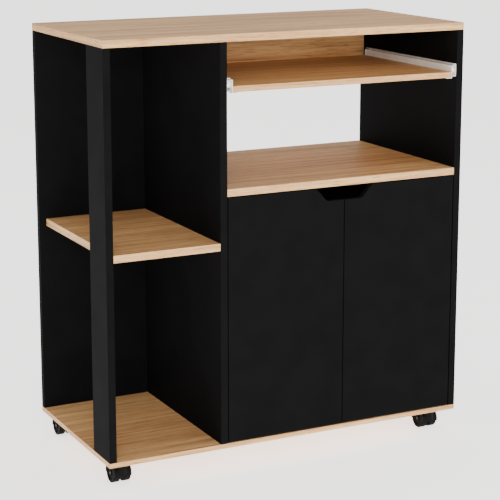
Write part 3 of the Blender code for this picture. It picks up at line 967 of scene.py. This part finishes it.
@dataclass
class Fasteners:
    """Cross-slotted heads set on points by one Geometry Nodes tree."""

    shop: Workshop
    plate_thickness: float = 2.0 * MM
    plate_spread: float = 16.0 * MM
    hinge_plate: float = 2.2 * MM
    hinge_plate_length: float = 44.0 * MM
    hinge_screw_offset: float = 13.5 * MM
    rail_steel: float = 1.2 * MM
    rail_screws: tuple[float, ...] = (60 * MM, 190 * MM, 310 * MM)
    cam_from_edge: float = 24.0 * MM
    cam_from_ends: float = 75.0 * MM
    cam_sink: float = 0.4 * MM
    tree: bpy.types.NodeTree = field(init=False)

    def __post_init__(self) -> None:
        """Build the tree that makes one head and sets it on every point."""
        tree = bpy.data.node_groups.new("fastener_heads", "GeometryNodeTree")
        face = tree.interface
        face.new_socket("Geometry", in_out="INPUT", socket_type="NodeSocketGeometry")
        for name in HEAD_INPUTS:
            face.new_socket(name, in_out="INPUT", socket_type="NodeSocketFloat")
        face.new_socket("Finish", in_out="INPUT", socket_type="NodeSocketMaterial")
        face.new_socket("Geometry", in_out="OUTPUT", socket_type="NodeSocketGeometry")
        given = add(tree, "NodeGroupInput").outputs
        head = add(
            tree,
            "GeometryNodeMeshCone",
            values={"Vertices": 24},
            links={
                "Radius Top": given["Top Radius"],
                "Radius Bottom": given["Base Radius"],
                "Depth": given["Height"],
            },
        )
        slots = []
        for first, second in (("Slot Length", "Slot Width"), ("Slot Width", "Slot Length")):
            depth = add(
                tree, "ShaderNodeMath", {"operation": "MULTIPLY"}, {1: 2.0}, {0: given["Slot Depth"]}
            )
            size = add(
                tree,
                "ShaderNodeCombineXYZ",
                links={"X": given[first], "Y": given[second], "Z": depth.outputs[0]},
            )
            cube = add(tree, "GeometryNodeMeshCube", links={"Size": size.outputs[0]})
            rise = add(tree, "ShaderNodeCombineXYZ", links={"Z": given["Height"]})
            lifted = add(
                tree,
                "GeometryNodeTransform",
                links={"Geometry": cube.outputs["Mesh"], "Translation": rise.outputs[0]},
            )
            slots.append(lifted.outputs[0])
        cross = add(tree, "GeometryNodeMeshBoolean", {"operation": "UNION", "solver": "EXACT"})
        for slot in slots:
            tree.links.new(slot, cross.inputs["Mesh 2"])
        cut = add(
            tree,
            "GeometryNodeMeshBoolean",
            {"operation": "DIFFERENCE", "solver": "EXACT"},
            links={"Mesh 1": head.outputs["Mesh"], "Mesh 2": cross.outputs["Mesh"]},
        )
        direction = add(
            tree, "GeometryNodeInputNamedAttribute", {"data_type": "FLOAT_VECTOR"}, {"Name": "direction"}
        )
        turn = add(
            tree,
            "FunctionNodeAlignRotationToVector",
            {"axis": "Z"},
            links={"Vector": direction.outputs["Attribute"]},
        )
        placed = add(
            tree,
            "GeometryNodeInstanceOnPoints",
            links={
                "Points": given["Geometry"],
                "Instance": cut.outputs["Mesh"],
                "Rotation": turn.outputs["Rotation"],
            },
        )
        real = add(tree, "GeometryNodeRealizeInstances", links={"Geometry": placed.outputs[0]})
        dressed = add(
            tree,
            "GeometryNodeSetMaterial",
            links={"Geometry": real.outputs[0], "Material": given["Finish"]},
        )
        add(tree, "NodeGroupOutput", links={"Geometry": dressed.outputs[0]})
        self.tree = tree

    def set_heads(self, name: str, head: Head, spots: list[tuple[Vector, Vector]]) -> None:
        """Make one baked mesh of equal heads on the cart.

        Args:
            name: The group's name.
            head: The kind of head.
            spots: The middle of each head's base, and the way it points.
        """
        mesh = bpy.data.meshes.new(name)
        mesh.from_pydata([spot for spot, _ in spots], [], [])
        layer = mesh.attributes.new("direction", "FLOAT_VECTOR", "POINT")
        for index, (_, direction) in enumerate(spots):
            layer.data[index].vector = direction
        group = bpy.data.objects.new(name, mesh)
        bpy.context.scene.collection.objects.link(group)
        modifier = group.modifiers.new("heads", "NODES")
        modifier.node_group = self.tree
        inputs = [item for item in self.tree.interface.items_tree if item.in_out == "INPUT"]
        sockets = {item.name: item.identifier for item in inputs}
        for label, value in zip(HEAD_INPUTS, head.value):
            modifier[sockets[label]] = value * MM
        modifier[sockets["Finish"]] = self.shop.materials[Finish.ZINC]
        self.shop.bake(group)
        self.shop.attach(group, "cart", Finish.ZINC)

    def caster_spots(self) -> list[tuple[Vector, Vector]]:
        """Find the screws of the caster plates.

        Returns:
            The middle of each head's base, and the way it points.
        """
        spots = []
        for corner in CORNERS:
            low, high = (Vector(point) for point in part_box("caster_plate_" + corner))
            middle = (low + high) / 2
            for across in (-self.plate_spread, self.plate_spread):
                for along in (-self.plate_spread, self.plate_spread):
                    spot = (middle.x + across, middle.y + along, high.z - self.plate_thickness)
                    spots.append((Vector(spot), Vector((0, 0, -1))))
        return spots

    def side_spots(self) -> tuple[list[tuple[Vector, Vector]], list[tuple[Vector, Vector]]]:
        """Find the countersunk screws of the hinge plates and of the fixed rails.

        Returns:
            The hinge screws, then the slide screws, each as in caster_spots.
        """
        sunk = Head.COUNTERSUNK.value[2] * MM
        hinge_spots, slide_spots = [], []
        for side, inward in zip(SIDES, (1, -1)):
            way = Vector((inward, 0, 0))
            for level in LEVELS:
                low, high = (Vector(point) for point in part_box(f"hinge_arm_{side}_{level}"))
                wall = low.x if side == "left" else high.x
                x = wall + inward * (self.hinge_plate - sunk)
                y = high.y - self.hinge_plate_length / 2
                for offset in (-self.hinge_screw_offset, self.hinge_screw_offset):
                    hinge_spots.append((Vector((x, y, (low.z + high.z) / 2 + offset)), way))
            low, high = (Vector(point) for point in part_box("slide_rail_" + side))
            wall = low.x if side == "left" else high.x
            x = wall + inward * (self.rail_steel - sunk)
            for along in self.rail_screws:
                slide_spots.append((Vector((x, low.y + along, (low.z + high.z) / 2)), way))
        return hinge_spots, slide_spots

    def cam_spots(self) -> list[tuple[Vector, Vector]]:
        """Find the cams under the two fixed shelves and behind the back rail.

        Returns:
            The middle of each cam's base, and the way it points.
        """
        down, back = Vector((0, 0, -1)), Vector((0, 1, 0))
        base = self.cam_sink + Head.CAM.value[2] * MM
        spots = []
        low, high = (Vector(point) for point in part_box("middle_shelf"))
        corner_low, corner_high = (Vector(point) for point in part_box("corner_shelf"))
        for y in (low.y + self.cam_from_ends, high.y - self.cam_from_ends):
            for x in (low.x + self.cam_from_edge, high.x - self.cam_from_edge):
                spots.append((Vector((x, y, low.z + base)), down))
            x = corner_high.x - self.cam_from_edge
            spots.append((Vector((x, y, corner_low.z + base)), down))
        low, high = (Vector(point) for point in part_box("back_rail"))
        for x in (low.x + self.cam_from_edge, high.x - self.cam_from_edge):
            spots.append((Vector((x, high.y - base, (low.z + high.z) / 2)), back))
        return spots

    def build(self) -> None:
        """Add the caster, hinge and slide screws, and the cams."""
        hinge_spots, slide_spots = self.side_spots()
        self.set_heads("caster_screws", Head.PAN, self.caster_spots())
        self.set_heads("hinge_screws", Head.COUNTERSUNK, hinge_spots)
        self.set_heads("slide_screws", Head.COUNTERSUNK, slide_spots)
        self.set_heads("cam_locks", Head.CAM, self.cam_spots())


# ------------------------------------------------------------------ studio


class Light(Enum):
    """Square studio lights: place, side in metres, power in watts and colour."""

    KEY = ((-1.6, -4.2, 1.6), 3.0, 215.0, "FFFAF4")
    FILL = ((2.6, -3.6, 1.2), 2.5, 60.0, "F8F9FF")
    TOP = ((0.3, 0.4, 4.0), 3.0, 40.0, "FFFFFF")


@dataclass
class Studio:
    """A pale floor, soft light and a camera to the front left, above the worktop."""

    focal_px: float = 1611.4
    frame_px: float = 500.0
    shift_up: float = -0.1
    yaw: float = 0.4676
    pitch: float = 0.2022
    camera_place: Point = (-1.4946, -2.9676, 1.1934)
    floor_half: float = 12.0
    floor_glow: float = 1.7
    surround_glow: float = 0.8
    lights_aim: Point = (0.0, 0.0, 0.45)

    def camera(self) -> None:
        """Place the camera."""
        data = bpy.data.cameras.new("camera")
        data.lens = data.sensor_width * self.focal_px / self.frame_px
        data.shift_y = self.shift_up
        made = bpy.data.objects.new("camera", data)
        made.location = self.camera_place
        way = Vector(
            (
                math.sin(self.yaw) * math.cos(self.pitch),
                math.cos(self.yaw) * math.cos(self.pitch),
                -math.sin(self.pitch),
            )
        )
        made.rotation_mode = "QUATERNION"
        made.rotation_quaternion = way.to_track_quat("-Z", "Y")
        bpy.context.scene.collection.objects.link(made)
        bpy.context.scene.camera = made

    def add_light(self, light: Light) -> None:
        """Add a light that looks at the cart's middle.

        Args:
            light: Which light to add.
        """
        place, size, power, colour = light.value
        name = light.name.lower() + "_light"
        data = bpy.data.lights.new(name, "AREA")
        data.shape = "SQUARE"
        data.size = size
        data.energy = power
        data.color = linear(colour)[:3]
        made = bpy.data.objects.new(name, data)
        made.location = place
        aim = Vector(self.lights_aim) - Vector(place)
        made.rotation_mode = "QUATERNION"
        made.rotation_quaternion = aim.to_track_quat("-Z", "Y")
        bpy.context.scene.collection.objects.link(made)

    def build(self) -> None:
        """Make the floor, the lights, the surround and the camera."""
        work = bmesh.new()
        bmesh.ops.create_grid(work, x_segments=1, y_segments=1, size=self.floor_half)
        mesh = bpy.data.meshes.new("studio_floor")
        work.to_mesh(mesh)
        work.free()
        floor = bpy.data.objects.new("studio_floor", mesh)
        bpy.context.scene.collection.objects.link(floor)
        made, _, shader, _ = start_material("pale_floor", roughness=0.9)
        shader.inputs["Base Color"].default_value = linear("F6F3F1")
        shader.inputs["Emission Color"].default_value = linear("FFFDFC")
        shader.inputs["Emission Strength"].default_value = self.floor_glow
        mesh.materials.append(made)
        world = bpy.data.worlds.new("studio")
        world.use_nodes = True
        surround = world.node_tree.nodes["Background"]
        surround.inputs["Color"].default_value = linear("FFFFFF")
        surround.inputs["Strength"].default_value = self.surround_glow
        bpy.context.scene.world = world
        for light in Light:
            self.add_light(light)
        self.camera()


def main() -> None:
    """Build the cart's finished pieces and the studio."""
    shop = Workshop()
    Boards(shop).build()
    Doors(shop).build()
    Hinges(shop).build()
    Slides(shop).build()
    SmallSteel(shop).build()
    Casters(shop).build()
    Fasteners(shop).build()
    Studio().build()


if __name__ == "__main__":
    logging.basicConfig(level=logging.INFO, format="%(message)s")
    main()
